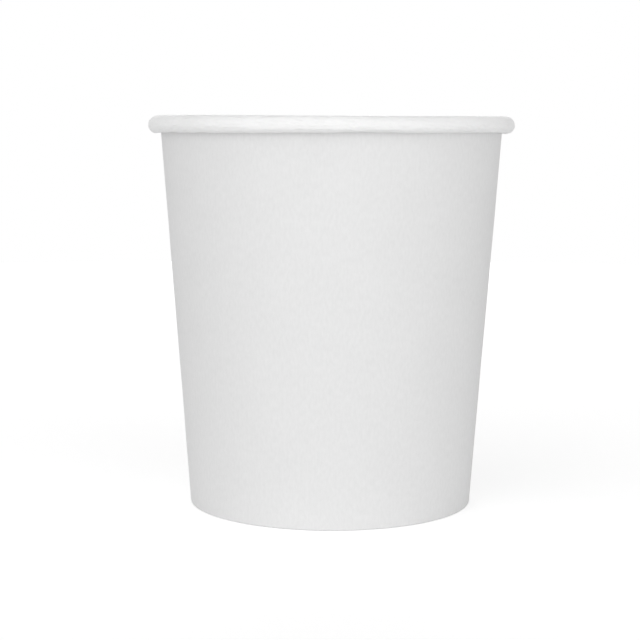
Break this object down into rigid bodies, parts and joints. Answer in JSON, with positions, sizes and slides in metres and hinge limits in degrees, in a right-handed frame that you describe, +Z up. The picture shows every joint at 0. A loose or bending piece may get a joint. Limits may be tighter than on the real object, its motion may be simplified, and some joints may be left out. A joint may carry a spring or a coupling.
{
  "type": "paper sundae cup",
  "caption": "Tapered round paperboard cup with a rolled rim, a lapped side seam and a recessed base, for ice cream or other soft food.",
  "frame": {"origin": "centre of the foot, on the surface that the cup stands on", "axes": "+Z up the cup's axis through its mouth; +Y towards the side seam, which is at the back; -Y towards the viewer of the picture"},
  "size_m": [0.096, 0.096, 0.1024],
  "materials": {
    "wall_board": "white board, uncoated and matt outside, thin clear polyethylene coating inside and over the rolled rim",
    "base_board": "white board, thin clear polyethylene coating on the side that meets the food"
  },
  "bodies": {
    "root": {"side_wall": "wall_board", "base_disc": "base_board"}
  },
  "joints": []
}
